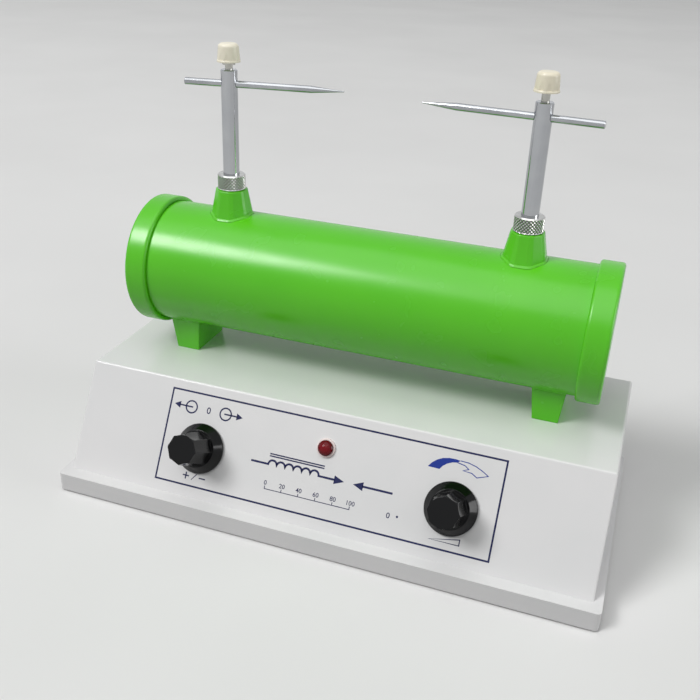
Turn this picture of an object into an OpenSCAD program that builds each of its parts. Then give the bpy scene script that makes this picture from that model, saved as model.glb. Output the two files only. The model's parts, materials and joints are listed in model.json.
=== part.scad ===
// Desk-top induction coil for the classroom: a coil in a moulded tube lies on a sloping-front
// control box, and two posts on the tube carry pointed rods that face each other across the
// spark gap. Millimetres. X runs along the coil, -Y is the front, +Z is up, and the origin is
// the middle of the base on the table.

/* [Control box] */
// Length of the box over its flange
base_l = 300; // [290:1:340]
// Depth of the flat deck, front to back
deck_w = 99.7; // [94:0.1:130]
// Height of the deck above the box's lower edge
deck_h = 64.5; // [62:0.5:80]
// How far the panel leans back from foot to deck
panel_run = 31.2; // [24:0.2:38]
// Height of the flange round the foot
flange_h = 10.5; // [8:0.5:14]
// Ledge of the flange in front of the panel
front_ledge = 7.6; // [5:0.1:14]
// Ledge of the flange at each end
side_ledge = 4.3; // [3:0.1:8]
// Ledge of the flange behind the box
back_ledge = 5; // [3:0.5:10]
// Wall thickness of the moulding
wall = 2.5; // [2:0.1:3.2]
// Rounding of the deck's edges
deck_edge_r = 1.6; // [0.5:0.1:3]
// Rounding of the upright corners
corner_r = 2; // [0.5:0.1:4]

/* [Underside] */
// Thickness of the bottom plate
plate_t = 2; // [1.5:0.1:3]
// How far the plate is set into the box
plate_recess = 1; // [0.5:0.1:1.5]
// Gap round the plate
plate_gap = 0.3; // [0.2:0.1:0.6]
// Diameter of a rubber foot
foot_pad_d = 14; // [10:1:18]
// Thickness of a rubber foot
foot_pad_t = 2; // [1.8:0.1:4]
// Rubber foot's centre in from the ends and sides of the plate
foot_pad_inset = 24; // [20:1:27]
// Diameter of a plate screw's thread
plate_screw_d = 3; // [2.5:0.5:4]
// Length of a plate screw below its head
plate_screw_l = 12; // [8:1:20]
// Diameter of a screw pillar in the box
pillar_d = 8; // [7:0.5:10]
// Pillar's centre in from the box's inner end walls
pillar_inset = 8; // [6:1:14]

/* [Coil tube] */
// Outer diameter of the green tube
tube_d = 68.4; // [66:0.2:74]
// Wall thickness of the tube
tube_wall = 3.2; // [2.5:0.1:4]
// Length of the coil over its end caps
coil_l = 261.4; // [255:0.2:280]
// Height of the coil's axis above the deck
axis_rise = 48.7; // [46:0.1:60]
// Wall thickness of an end cap's skirt
cap_skirt_t = 2.3; // [1.5:0.1:4]
// Width of an end cap
cap_w = 12.5; // [8:0.5:20]
// Thickness of an end cap's closed end
cap_end_t = 3; // [2:0.5:5]
// Gap between a cap's skirt and the tube
cap_gap = 0.15; // [0.1:0.05:0.3]
// Distance of a moulded foot's middle from the coil's end
foot_inset = 25.7; // [23:0.1:32]
// Length of a moulded foot along the coil, at the deck
foot_l = 13.6; // [12:0.1:20]
// Width of a moulded foot across the coil, at the deck
foot_w = 30; // [26:1:40]
// Draft of the feet on every side, in degrees
foot_draft = 6; // [0:0.5:10]
// Diameter of the screws that hold the feet
foot_screw_d = 3.5; // [3:0.5:4]
// Height of a boss above the top of the tube
boss_rise = 13.4; // [8:0.1:18]
// Width of a boss across its flats at the top
boss_w = 16.6; // [14:0.1:20]
// Draft of the boss's eight sides, in degrees
boss_draft = 10.8; // [4:0.1:14]

/* [Windings] */
// Diameter of the bundled iron core
core_d = 18; // [14:1:20]
// Wall thickness of the primary former
primary_former_t = 1.2; // [0.8:0.1:2]
// Thickness of the primary winding
primary_t = 2.4; // [1.5:0.1:3]
// Gap between the primary winding's end and the disc beside it
primary_end_gap = 14; // [12:1:34]
// Wall thickness of the insulating sleeve
sleeve_t = 2.5; // [1.5:0.1:3]
// Wall thickness of the secondary former
secondary_former_t = 1.2; // [0.8:0.1:2]
// Thickness of the secondary winding
secondary_t = 7; // [5:0.5:8]
// Length of the secondary former over its flanges
secondary_l = 150; // [120:2:154]
// Number of sections that the secondary is wound in
sections = 8; // [4:1:12]
// Thickness of a flange of the secondary former
former_flange_t = 1.2; // [0.8:0.1:2]
// Gap between one layer and the next
layer_gap = 0.15; // [0.1:0.05:0.25]
// Thickness of the discs that centre the coil in the tube
support_t = 6; // [4:0.5:7]
// Diameter of the high-voltage leads
hv_lead_d = 2.4; // [1.6:0.2:3]
// Diameter of the primary leads
primary_lead_d = 1.8; // [1.2:0.2:2]

/* [Posts] */
// Distance of a post from the coil's middle
post_x = 81.5; // [80:0.5:90]
// Diameter of a post
post_d = 8.8; // [7:0.1:9.2]
// Length of a post above its collar
post_l = 54.8; // [40:0.1:70]
// Diameter of the knurled collar
collar_d = 15.2; // [13:0.1:16]
// Height of the knurled collar
collar_h = 8.4; // [7:0.1:14]
// Diameter of the stub that turns in the brass insert
stub_d = 6; // [5:0.5:6.5]
// Length of that stub
stub_l = 11.5; // [8:0.5:12.5]
// Diameter of the brass insert in the boss
insert_d = 10; // [9:0.5:11]
// Radial clearance of every turning or sliding fit
running_gap = 0.05; // [0.02:0.01:0.09]

/* [Electrodes] */
// Diameter of an electrode rod
rod_d = 3.7; // [3:0.1:4]
// Length of the left electrode rod with its point
left_rod_l = 85; // [80:0.5:94]
// Length of the right electrode rod with its point
right_rod_l = 89; // [80:0.5:94]
// Length of the tapered point
point_l = 17.5; // [12:0.5:22]
// Diameter of the point's very end
point_d = 0.6; // [0.4:0.1:1]
// Left point's distance from its post
left_reach = 61; // [58:0.5:64]
// Right point's distance from its post
right_reach = 60.2; // [57:0.2:64]
// Left rod's turn towards the back, in degrees
left_aim_angle = 9.7; // [0:0.1:30]
// Right rod's turn towards the back, in degrees
right_aim_angle = 4.2; // [0:0.1:30]
// Rod's axis below the top of the post
rod_drop = 7.3; // [5:0.1:10]

/* [Clamp screws] */
// Diameter of a clamp screw
clamp_d = 4; // [3:0.1:4.5]
// Height of the ivory cap
clamp_cap_h = 9.2; // [8:0.1:14]
// Diameter of the ivory cap at its middle
clamp_cap_d = 11.8; // [10:0.1:14]
// Diameter of the ivory cap's rounded top
clamp_top_d = 10.4; // [8:0.1:13]
// Diameter of the ivory cap's thin rim
clamp_rim_d = 12.3; // [11:0.1:15]
// Number of shallow flutes on the ivory cap
clamp_flutes = 10; // [6:1:16]
// Gap between the left cap and its post
left_clamp_gap = 3.8; // [2:0.1:6]
// Gap between the right cap and its post
right_clamp_gap = 4.5; // [2:0.1:6]
// How much of the left screw's shoulder shows under its cap
left_shoulder_show = 1.3; // [0:0.1:1.5]
// Diameter of a clamp screw's shoulder
shoulder_d = 6.8; // [5.5:0.1:8]

/* [Knobs] */
// Distance of a knob from the middle of the panel
knob_x = 70.3; // [60:0.1:90]
// Knobs' distance up the slope of the panel
knob_s = 27.4; // [24:0.1:34]
// Diameter of a knob's skirt
skirt_d = 27.4; // [24:0.1:32]
// Height of a knob above the panel
knob_h = 23.2; // [20:0.1:26]
// Diameter of the grip at its foot
grip_foot_d = 19; // [17:0.1:22]
// Diameter of the grip at its top
grip_top_d = 16.8; // [14:0.1:17]
// Number of flutes round a grip
flutes = 8; // [6:1:12]
// Radius of a flute, a hollow barely deeper than a flat
flute_r = 22; // [14:1:30]
// Depth of a flute
flute_depth = 0.9; // [0.8:0.05:1.2]
// Diameter of the spindles
spindle_d = 6; // [5:0.5:6.4]
// Diameter of the threaded bushings
bushing_d = 9; // [8:0.5:10]
// Diameter of the rotary switch and control behind the panel
control_d = 26; // [20:1:28]
// Depth of the rotary switch and control behind the panel
control_l = 20; // [16:1:22]

/* [Lamp] */
// Lamp's distance up the slope of the panel
lamp_s = 43; // [38:0.5:48]
// Diameter of the red lens
lens_d = 8.2; // [6:0.1:10]
// Height of the lens above the panel
lens_h = 4.4; // [3:0.1:6]
// Width of the bezel round the lens
bezel_w = 1; // [0.8:0.1:2]

/* [Mains inlet] */
// Cable gland's distance from the base's right end
gland_inset = 40; // [30:1:60]
// Gland's height above the box's lower edge
gland_h = 30; // [24:1:40]
// Bore of the gland
gland_bore_d = 6.4; // [5:0.1:7.5]
// Thread diameter of the gland
gland_d = 12; // [10:0.5:14]

/* [Circuit board] */
// Length of the board
board_l = 130; // [124:1:132]
// Width of the board
board_w = 56; // [54:1:62]
// Thickness of the board
board_t = 1.6; // [1:0.1:2]
// Height of the board's standoffs
standoff_h = 8; // [5:0.5:12]
// Board's distance from the base's right end
board_inset = 35; // [33:1:41]
// Diameter of the discharge capacitor
capacitor_d = 25; // [20:1:28]
// Height of the discharge capacitor
capacitor_h = 38; // [25:1:42]

/* [Hidden] */

$fn = 96;
// Facets on small round pieces and the steps of one rounded corner.
small_fn = 48;
fillet_steps = 5;
// A cut runs this far past the face that it opens.
past = 1;
// An elbow in a wire is this much thicker than the wire.
elbow_swell = 1.12;
// Large enough to run through the whole part.
far = 500;
left = -1;
right = 1;

// Heights above the table.
rim_z = foot_pad_t - plate_recess;
plate_z = foot_pad_t;
plate_top_z = plate_z + plate_t;
flange_top_z = rim_z + flange_h;
deck_z = rim_z + deck_h;
axis_z = deck_z + axis_rise;

// Places front to back, with the flange centred on the origin.
base_w = front_ledge + panel_run + deck_w + back_ledge;
base_front_y = -base_w / 2;
base_back_y = base_w / 2;
panel_foot_y = base_front_y + front_ledge;
deck_front_y = panel_foot_y + panel_run;
deck_back_y = deck_front_y + deck_w;
coil_y = (deck_front_y + deck_back_y) / 2;

// The panel's slope and the ends of the box above the flange.
panel_rise = deck_z - flange_top_z;
panel_angle = atan2(panel_rise, panel_run);
panel_l = norm([panel_run, panel_rise]);
box_end_x = base_l / 2 - side_ledge;
flange_corner_r = corner_r + 0.5;
panel_edge_r = 1;

// Underside.
plate_l = base_l - 2 * (wall + plate_gap);
plate_w = base_w - 2 * (wall + plate_gap);
screw_hole_gap = 0.1;
pillar_x = box_end_x - wall - pillar_inset;
pillar_front_y = panel_foot_y + pillar_d;
pillar_back_y = deck_back_y - wall - pillar_d / 2 - 1;
pillar_places = [for (x = [-pillar_x, 0, pillar_x], y = [pillar_front_y, pillar_back_y]) [x, y]];
screw_head_h = 1.5;
foot_pad_places = [for (x = [left, right], y = [left, right])
    [x * (plate_l / 2 - foot_pad_inset), y * (plate_w / 2 - foot_pad_inset)]];

// Coil tube, end caps and what is moulded on the tube.
tube_r = tube_d / 2;
bore_r = tube_r - tube_wall;
cap_r = tube_r + cap_gap + cap_skirt_t;
tube_l = coil_l - 2 * cap_end_t;
cap_edge_r = 0.7 * cap_skirt_t;
// A boss's rounded upright edges against half its width; 1.082 would leave them sharp.
boss_edge_reach = 1.04;
boss_top_z = axis_z + tube_r + boss_rise;
foot_x = coil_l / 2 - foot_inset;
foot_screw_span = foot_w - 12;
foot_screw_depth = 9;
deck_underside_z = deck_z - wall;
lead_hole_d = 7;

// Layers of the coil, from the core outwards.
core_r = core_d / 2;
primary_former_r = core_r + layer_gap + primary_former_t;
primary_r = primary_former_r + layer_gap + primary_t;
sleeve_r = primary_r + layer_gap + sleeve_t;
secondary_former_r = sleeve_r + layer_gap + secondary_former_t;
secondary_r = secondary_former_r + layer_gap + secondary_t;
former_flange_r = secondary_r + 1;
support_gap = 7.7;
support_x = coil_l / 2 - cap_end_t - support_gap - support_t;
primary_l = 2 * (support_x - primary_end_gap);
sleeve_end_gap = 12;
sleeve_l = 2 * (support_x - sleeve_end_gap);
section_pitch = (secondary_l - former_flange_t) / sections;
support_outer_r = bore_r - layer_gap;

// Brass inserts and leads.
insert_bottom_z = axis_z + bore_r - 1;
insert_bore_depth = stub_l + 0.5;
hv_lead_z = axis_z + secondary_r - 3;
hv_lead_gap = 0.5;
hv_lead_over_z = axis_z + former_flange_r + hv_lead_gap + hv_lead_d / 2;
hv_lead_stand_off = 3.5;
hv_lead_x = secondary_l / 2 + hv_lead_stand_off;
primary_lead_offset = primary_lead_d / 2 + 0.6;

// Posts and electrodes.
collar_top_z = boss_top_z + collar_h;
post_top_z = collar_top_z + post_l;
rod_z = post_top_z - rod_drop;
rod_r = rod_d / 2;
post_chamfer = 0.4;
collar_chamfer = 0.6;

// Clamp screws.
screw_tip_z = rod_z + rod_r + 2 * running_gap;
screw_grip_l = 7;
shoulder_h = 2;
clamp_rim_h = 1.1;
clamp_flute_r = 5;
clamp_flute_depth = 0.35;
clamp_top_fillet = 2;

// Knobs, in the panel's frame with z outwards.
knob_gap = 0.6;
skirt_edge_h = 1.8;
grip_foot_h = 6.8;
knob_recess_d = 16;
knob_recess_h = 5.6;
knob_top_fillet = 1;
spindle_top_h = 16.5;
spindle_inner_l = 10;
bushing_h = 5.2;
bushing_hole_gap = 0.15;
nut_af = 12.5;
nut_h = 2.4;
grub_d = 3;
grub_h = 10.5;
grub_l = 4.6;
control_edge_r = 1;

// Lamp, in the panel's frame.
lens_r = lens_d / 2;
bezel_r = lens_r + bezel_w;
bezel_h = 1.3;
lamp_body_r = lens_r + 0.9;
lamp_body_l = 14;
lens_wall = 1;
lamp_bulb_r = lens_r - lens_wall - 0.4;

// Mains inlet.
gland_x = base_l / 2 - gland_inset;
gland_z = rim_z + gland_h;
gland_nut_af = gland_d + 5;
gland_nut_h = 4;
gland_passage_gap = 1;
gland_head_l = 8;

// Circuit board.
board_x = base_l / 2 - board_inset - board_l / 2;
board_y = coil_y + 4;
board_z = plate_top_z + standoff_h;
board_top_z = board_z + board_t;
board_left_x = board_x - board_l / 2;
board_front_y = board_y - board_w / 2;
board_corner_inset = 4.5;
standoff_d = 6;
board_screw_d = 3;
board_places = [for (x = [left, right], y = [left, right])
    [board_x + x * (board_l / 2 - board_corner_inset), board_y + y * (board_w / 2 - board_corner_inset)]];
wire_d = 1.6;

// Colours as they look.
white_plastic = "#dcdcdc";
green_plastic = "#5cc832";
chrome_metal = "#b8bcc0";
black_plastic = "#1c1c1e";
brass_metal = "#c8a850";
copper_metal = "#b06a3a";

function unit(v) = v / norm(v);

// Points of the arc that rounds the corner "at" of an outline.
function fillet(before, at, after, radius) =
    let (
        a = unit(before - at),
        b = unit(after - at),
        half = acos(a * b) / 2,
        centre = at + unit(a + b) * radius / sin(half),
        start = at + a * radius / tan(half) - centre,
        finish = at + b * radius / tan(half) - centre,
        start_angle = atan2(start.y, start.x),
        turn = atan2(start.x * finish.y - start.y * finish.x, start * finish)
    )
    [for (i = [0:fillet_steps])
        let (angle = start_angle + turn * i / fillet_steps)
        centre + radius * [cos(angle), sin(angle)]];

// Y of the panel's face at height z, or of a parallel face a given depth inside it.
function panel_y(z, depth = 0) =
    panel_foot_y + (z - flange_top_z) * panel_run / panel_rise + depth / sin(panel_angle);

// A point in the panel's frame, as a place in the part's frame.
function panel_point(x, s, h) = [
    x,
    panel_foot_y + s * cos(panel_angle) - h * sin(panel_angle),
    flange_top_z + s * sin(panel_angle) + h * cos(panel_angle)
];

// Moves what follows to the panel: x along it, y up its slope and z outwards.
module on_panel(x, s) {
    translate(panel_point(x, s, 0)) rotate([panel_angle, 0, 0]) children();
}

// Turns an outline drawn in (y, z) into a bar along X, centred on x = 0.
module bar_along_x(length) {
    rotate([90, 0, 90]) linear_extrude(length, center = true) children();
}

// Turns an outline drawn in (x, z) into a bar along Y, centred on y = 0.
module bar_along_y(length) {
    rotate([90, 0, 0]) linear_extrude(length, center = true) children();
}

// Lays what is drawn along z on the coil's axis, pointing to side -1 or 1.
module along_coil(side = 1) {
    translate([0, coil_y, axis_z]) rotate([0, side * 90, 0]) children();
}

module rounded_plate(length, width, radius, height) {
    x = length / 2;
    y = width / 2;
    corners = [[-x, -y], [x, -y], [x, y], [-x, y]];
    linear_extrude(height)
        polygon([for (i = [0:3]) each fillet(corners[(i + 3) % 4], corners[i], corners[(i + 1) % 4], radius)]);
}

// A tube round the coil's axis, centred on the coil's middle.
module layer(inner_r, outer_r, length) {
    along_coil() translate([0, 0, -length / 2]) difference() {
        cylinder(r = outer_r, h = length);
        translate([0, 0, -past]) cylinder(r = inner_r, h = length + 2 * past);
    }
}

// A wire through a list of points, with round elbows and flat ends.
module wire(points, diameter) {
    for (i = [0:len(points) - 2]) {
        run = points[i + 1] - points[i];
        translate(points[i])
            rotate([0, acos(run.z / norm(run)), atan2(run.y, run.x)])
            cylinder(d = diameter, h = norm(run), $fn = 24);
    }
    for (i = [1:1:len(points) - 2])
        translate(points[i]) sphere(d = diameter * elbow_swell, $fn = 24);
}

module pan_head_screw(diameter, length, head_d, head_h) {
    cylinder(d = diameter, h = length, $fn = small_fn);
    difference() {
        translate([0, 0, -head_h]) cylinder(d = head_d, h = head_h, $fn = small_fn);
        for (turn = [0, 90])
            rotate([0, 0, turn]) translate([0, 0, -head_h])
                cube([head_d * 0.6, head_d * 0.14, head_h], center = true);
    }
}

// ---------- Control box ----------

// Outside of the box above the flange, with its edges rounded.
module box_outside() {
    corner_back = [deck_back_y, deck_z];
    corner_front = [deck_front_y, deck_z];
    foot_front = [panel_y(rim_z), rim_z];
    foot_back = [deck_back_y, rim_z];
    x = box_end_x;
    intersection() {
        bar_along_x(far) polygon(concat(
            [foot_back],
            fillet(foot_back, corner_back, corner_front, deck_edge_r),
            fillet(corner_back, corner_front, foot_front, deck_edge_r),
            [foot_front]
        ));
        bar_along_y(far) polygon(concat(
            [[-x, rim_z], [x, rim_z]],
            fillet([x, rim_z], [x, deck_z], [-x, deck_z], deck_edge_r),
            fillet([x, deck_z], [-x, deck_z], [-x, rim_z], deck_edge_r)
        ));
        translate([0, deck_back_y - far / 2, 0]) rounded_plate(2 * x, far, corner_r, far);
        on_panel(0, -far / 2) rotate([90, 0, 180])
            linear_extrude(far) polygon(concat(
                [[x, -far], [-x, -far]],
                fillet([-x, -far], [-x, 0], [x, 0], panel_edge_r),
                fillet([-x, 0], [x, 0], [x, -far], panel_edge_r)
            ));
    }
}

module box_inside() {
    x = box_end_x - wall;
    top_z = deck_z - wall;
    bottom_z = rim_z - past;
    bar_along_x(2 * x) polygon([
        [panel_y(bottom_z, wall), bottom_z],
        [panel_y(top_z, wall), top_z],
        [deck_back_y - wall, top_z],
        [deck_back_y - wall, bottom_z]
    ]);
    translate([0, 0, bottom_z])
        rounded_plate(base_l - 2 * wall, base_w - 2 * wall, flange_corner_r, flange_h - wall + past);
}

module base_housing() {
    color(white_plastic) difference() {
        union() {
            difference() {
                union() {
                    translate([0, 0, rim_z]) rounded_plate(base_l, base_w, flange_corner_r, flange_h);
                    box_outside();
                }
                box_inside();
            }
            intersection() {
                box_outside();
                for (place = pillar_places)
                    translate([place.x, place.y, plate_top_z]) cylinder(d = pillar_d, h = deck_h, $fn = small_fn);
            }
        }
        for (place = pillar_places)
            translate([place.x, place.y, plate_top_z - past])
                cylinder(d = plate_screw_d + screw_hole_gap, h = plate_screw_l + past, $fn = small_fn);
        for (x = [-knob_x, knob_x])
            on_panel(x, knob_s) cylinder(d = bushing_d + 2 * bushing_hole_gap, h = far, center = true);
        on_panel(0, lamp_s) cylinder(r = lamp_body_r + bushing_hole_gap, h = far, center = true);
        coil_foot_holes(deck_underside_z - past, deck_z + past);
        translate([foot_x, coil_y, deck_underside_z - past])
            cylinder(d = lead_hole_d, h = wall + 2 * past, $fn = small_fn);
        translate([gland_x, deck_back_y, gland_z]) rotate([90, 0, 0])
            cylinder(d = gland_d + 2 * bushing_hole_gap, h = 2 * wall + 2 * past, center = true);
    }
}

module bottom_plate() {
    color("#c8c8c8") translate([0, 0, plate_z]) difference() {
        rounded_plate(plate_l, plate_w, flange_corner_r, plate_t);
        for (place = concat(pillar_places, board_places))
            translate([place.x, place.y, -past])
                cylinder(d = plate_screw_d + 4 * screw_hole_gap, h = plate_t + 2 * past, $fn = small_fn);
    }
}

module bottom_screws() {
    color(chrome_metal) for (place = pillar_places)
        translate([place.x, place.y, plate_z])
            pan_head_screw(plate_screw_d, plate_t + plate_screw_l - past, 6, screw_head_h);
}

module rubber_feet() {
    color("#2a2a2a") for (place = foot_pad_places)
        translate([place.x, place.y, 0]) cylinder(d = foot_pad_d, h = foot_pad_t, $fn = small_fn);
}

// The gland's axis runs along Y, out of the back wall.
module at_gland() {
    translate([gland_x, deck_back_y, gland_z]) rotate([-90, 0, 0]) children();
}

module cable_gland() {
    inner_l = wall + gland_nut_h + 1.5;
    color(black_plastic) at_gland() difference() {
        union() {
            translate([0, 0, -inner_l]) cylinder(d = gland_d, h = inner_l, $fn = small_fn);
            cylinder(d = gland_nut_af / cos(30), h = gland_head_l / 2, $fn = 6);
            translate([0, 0, gland_head_l / 2])
                cylinder(d1 = gland_nut_af, d2 = gland_d, h = gland_head_l / 2, $fn = small_fn);
        }
        cylinder(d = gland_bore_d, h = gland_head_l + past, $fn = small_fn);
        translate([0, 0, -inner_l - past])
            cylinder(d = gland_bore_d + gland_passage_gap, h = inner_l + past, $fn = small_fn);
    }
}

module gland_nut() {
    color(black_plastic) at_gland() translate([0, 0, -wall - gland_nut_h]) difference() {
        cylinder(d = gland_nut_af / cos(30), h = gland_nut_h, $fn = 6);
        translate([0, 0, -past])
            cylinder(d = gland_d + 2 * running_gap, h = gland_nut_h + 2 * past, $fn = small_fn);
    }
}

// ---------- Lamp ----------

module lamp_bezel() {
    color("#f0e8e6") on_panel(0, lamp_s) difference() {
        union() {
            rotate_extrude($fn = small_fn) polygon(concat(
                [[0, 0], [bezel_r, 0]],
                fillet([bezel_r, 0], [bezel_r, bezel_h], [0, bezel_h], 0.5),
                [[0, bezel_h]]
            ));
            translate([0, 0, -lamp_body_l]) cylinder(r = lamp_body_r, h = lamp_body_l, $fn = small_fn);
        }
        translate([0, 0, -lamp_body_l + 2])
            cylinder(r = lens_r + running_gap, h = lamp_body_l + bezel_h, $fn = small_fn);
    }
}

module lamp_lens() {
    dome_h = 2.2;
    side_h = lens_h - dome_h;
    seat = -lamp_body_l + 2;
    dome_r = (lens_r * lens_r + dome_h * dome_h) / (2 * dome_h);
    color("#8c0a19") on_panel(0, lamp_s) difference() {
        intersection() {
            translate([0, 0, seat]) cylinder(r = lens_r, h = far, $fn = small_fn);
            translate([0, 0, side_h + dome_h - dome_r]) sphere(r = dome_r);
            translate([0, 0, seat]) cylinder(r = far / 2, h = far);
        }
        translate([0, 0, seat - past])
            cylinder(r = lens_r - lens_wall, h = side_h - seat + past, $fn = small_fn);
    }
}

module lamp_bulb() {
    seat = -lamp_body_l + 2;
    color("#ffcfa0") on_panel(0, lamp_s) {
        translate([0, 0, seat]) cylinder(r = lamp_bulb_r, h = 9, $fn = small_fn);
        translate([0, 0, seat + 9]) sphere(r = lamp_bulb_r, $fn = small_fn);
    }
}

// ---------- Switch and control behind the panel ----------

// Body of a rotary control with its threaded bushing, and room for the spindle.
module control_body(x) {
    r = control_d / 2;
    on_panel(x, knob_s) difference() {
        union() {
            translate([0, 0, -wall]) mirror([0, 0, 1]) rotate_extrude() polygon(concat(
                [[0, 0], [r, 0]],
                fillet([r, 0], [r, control_l], [0, control_l], control_edge_r),
                [[0, control_l]]
            ));
            translate([0, 0, -wall]) cylinder(d = bushing_d, h = wall + bushing_h);
        }
        translate([0, 0, -wall - spindle_inner_l - running_gap])
            cylinder(d = spindle_d + 2 * running_gap, h = far);
    }
}

module bushing_nut(x) {
    on_panel(x, knob_s) difference() {
        cylinder(d = nut_af / cos(30), h = nut_h, $fn = 6);
        translate([0, 0, -past]) cylinder(d = bushing_d + 2 * running_gap, h = nut_h + 2 * past);
    }
}

module spindle(x) {
    on_panel(x, knob_s) translate([0, 0, -wall - spindle_inner_l])
        cylinder(d = spindle_d, h = spindle_top_h + wall + spindle_inner_l);
}

// Fluted knob with a skirt, hollow underneath for the nut.
module knob(x) {
    r = skirt_d / 2;
    foot_r = grip_foot_d / 2;
    top_r = grip_top_d / 2;
    grip_lean = atan2(foot_r - top_r, knob_h - grip_foot_h);
    top = [top_r, knob_h];
    rim = [r, skirt_edge_h];
    on_panel(x, knob_s) difference() {
        rotate_extrude() polygon(concat(
            [[0, knob_gap], [r, knob_gap]],
            fillet([r, knob_gap], rim, [foot_r, grip_foot_h], 0.5),
            [[foot_r, grip_foot_h]],
            fillet([foot_r, grip_foot_h], top, [0, knob_h], knob_top_fillet),
            [[0, knob_h]]
        ));
        for (i = [0:flutes - 1])
            rotate([0, 0, (i + 0.5) * 360 / flutes])
                translate([foot_r - flute_depth, 0, grip_foot_h])
                rotate([0, -grip_lean, 0])
                translate([flute_r, 0, -flute_depth])
                cylinder(r = flute_r, h = knob_h);
        cylinder(d = knob_recess_d, h = 2 * knob_recess_h, center = true);
        cylinder(d = spindle_d + 2 * running_gap, h = spindle_top_h + running_gap);
        translate([0, 0, grub_h]) rotate([90, 0, 0])
            cylinder(d = grub_d + 2 * running_gap, h = far, $fn = small_fn);
    }
}

module grub_screw(x) {
    on_panel(x, knob_s) translate([0, -spindle_d / 2 - running_gap, grub_h]) rotate([90, 0, 0])
        difference() {
            cylinder(d = grub_d, h = grub_l, $fn = small_fn);
            translate([0, 0, grub_l]) cube([grub_d * 1.2, 0.6, 1.6], center = true);
        }
}

module polarity_switch_body() { color("#3a3a3e") control_body(-knob_x); }

module polarity_switch_nut() { color(chrome_metal) bushing_nut(-knob_x); }

module polarity_spindle() { color(brass_metal) spindle(-knob_x); }

module polarity_knob() { color(black_plastic) knob(-knob_x); }

module polarity_grub_screw() { color(chrome_metal) grub_screw(-knob_x); }

module voltage_control_body() { color("#4a4038") control_body(knob_x); }

module voltage_control_nut() { color(chrome_metal) bushing_nut(knob_x); }

module voltage_spindle() { color(brass_metal) spindle(knob_x); }

module voltage_knob() { color(black_plastic) knob(knob_x); }

module voltage_grub_screw() { color(chrome_metal) grub_screw(knob_x); }

// ---------- Coil tube ----------

// Eight-sided block that widens downwards from its top.
module boss_block(x) {
    depth = tube_r;
    spread = depth * tan(boss_draft);
    half = boss_w / 2;
    translate([x, coil_y, boss_top_z - depth]) intersection() {
        intersection_for (turn = [0:45:135])
            rotate([0, 0, turn]) bar_along_y(far) polygon([
                [-half - spread, 0], [half + spread, 0], [half, depth], [-half, depth]
            ]);
        cylinder(r1 = boss_edge_reach * (half + spread), r2 = boss_edge_reach * half, h = depth, $fn = 180);
    }
}

// Foot that narrows downwards on every side.
module foot_block(x) {
    spread = axis_rise * tan(foot_draft);
    translate([x, coil_y, deck_z]) intersection() {
        bar_along_y(far) polygon([
            [-foot_l / 2, 0], [foot_l / 2, 0],
            [foot_l / 2 + spread, axis_rise], [-foot_l / 2 - spread, axis_rise]
        ]);
        bar_along_x(far) polygon([
            [-foot_w / 2, 0], [foot_w / 2, 0],
            [foot_w / 2 + spread, axis_rise], [-foot_w / 2 - spread, axis_rise]
        ]);
    }
}

// Holes for the screws that come up through the deck into the feet.
module coil_foot_holes(from_z, to_z) {
    for (x = [-foot_x, foot_x], y = [-foot_screw_span / 2, foot_screw_span / 2])
        translate([x, coil_y + y, from_z])
            cylinder(d = foot_screw_d + screw_hole_gap, h = to_z - from_z, $fn = small_fn);
}

module coil_tube() {
    color(green_plastic) difference() {
        union() {
            along_coil() cylinder(r = tube_r, h = tube_l, center = true, $fn = 180);
            for (side = [left, right]) {
                boss_block(side * post_x);
                foot_block(side * foot_x);
            }
        }
        along_coil() cylinder(r = bore_r, h = far, center = true, $fn = 180);
        for (side = [left, right])
            translate([side * post_x, coil_y, axis_z]) cylinder(d = insert_d + 2 * running_gap, h = far);
        coil_foot_holes(deck_z - past, deck_z + foot_screw_depth);
        translate([foot_x, coil_y, deck_z - past])
            cylinder(d = lead_hole_d, h = axis_rise, $fn = small_fn);
    }
}

// Cup that closes one end of the tube.
module end_cap(side) {
    color(green_plastic) along_coil(side) rotate_extrude($fn = 180) polygon(concat(
        [[0, coil_l / 2 - cap_end_t], [tube_r + cap_gap, coil_l / 2 - cap_end_t]],
        [[tube_r + cap_gap, coil_l / 2 - cap_w]],
        fillet([0, coil_l / 2 - cap_w], [cap_r, coil_l / 2 - cap_w], [cap_r, coil_l / 2], cap_edge_r),
        fillet([cap_r, 0], [cap_r, coil_l / 2], [0, coil_l / 2], cap_edge_r),
        [[0, coil_l / 2]]
    ));
}

module left_end_cap() { end_cap(left); }

module right_end_cap() { end_cap(right); }

module coil_foot_screws() {
    color(chrome_metal)
        for (x = [-foot_x, foot_x], y = [-foot_screw_span / 2, foot_screw_span / 2])
            translate([x, coil_y + y, deck_underside_z])
                pan_head_screw(foot_screw_d, wall + foot_screw_depth - past, 6.5, 2.2);
}

// ---------- Core and windings ----------

module iron_core() {
    color("#4a4c50") along_coil() cylinder(r = core_r, h = 2 * (support_x + support_t), center = true);
}

module primary_former() {
    color("#d8c8a0") layer(core_r + layer_gap, primary_former_r, 2 * support_x);
}

module primary_winding() {
    color(copper_metal) layer(primary_former_r + layer_gap, primary_r, primary_l);
}

module insulating_sleeve() {
    color("#e0e0d8") layer(primary_r + layer_gap, sleeve_r, sleeve_l);
}

module secondary_former() {
    color("#e8e4d8") union() {
        layer(sleeve_r + layer_gap, secondary_former_r, secondary_l);
        for (i = [0:sections])
            translate([-secondary_l / 2 + former_flange_t / 2 + i * section_pitch, 0, 0])
                layer(sleeve_r + layer_gap, former_flange_r, former_flange_t);
    }
}

module secondary_winding() {
    color(copper_metal) for (i = [0:sections - 1])
        translate([-secondary_l / 2 + former_flange_t / 2 + (i + 0.5) * section_pitch, 0, 0])
            layer(secondary_former_r + layer_gap, secondary_r, section_pitch - former_flange_t);
}

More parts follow.
